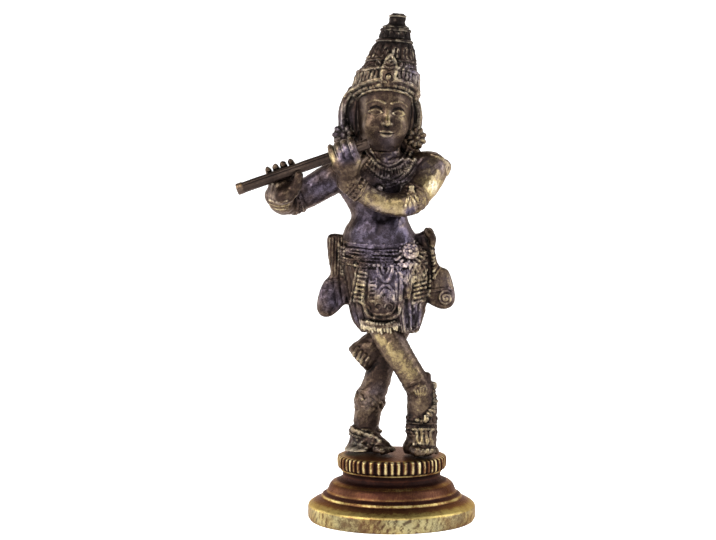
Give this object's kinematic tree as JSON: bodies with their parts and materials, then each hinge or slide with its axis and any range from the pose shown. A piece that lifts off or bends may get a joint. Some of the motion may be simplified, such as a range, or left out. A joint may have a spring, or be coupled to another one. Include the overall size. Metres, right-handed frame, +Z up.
{
  "type": "statuette",
  "caption": "Small cast brass figure of a crowned flute player with crossed legs, standing on a round turned plinth.",
  "frame": {"origin": "centre of the plinth's flat underside", "axes": "+Z up through the crown, the figure faces -Y, +X is the figure's left"},
  "size_m": [0.0606, 0.0432, 0.1299],
  "materials": {
    "plinth_brass": "turned, worn bright on the edges, dark in the grooves",
    "figure_brass": "cast, dark brown patina with worn golden high places",
    "flute_brass": "filed rod with a dark patina"
  },
  "bodies": {
    "root": {"plinth": "plinth_brass", "figure": "figure_brass", "flute": "flute_brass"}
  },
  "joints": []
}
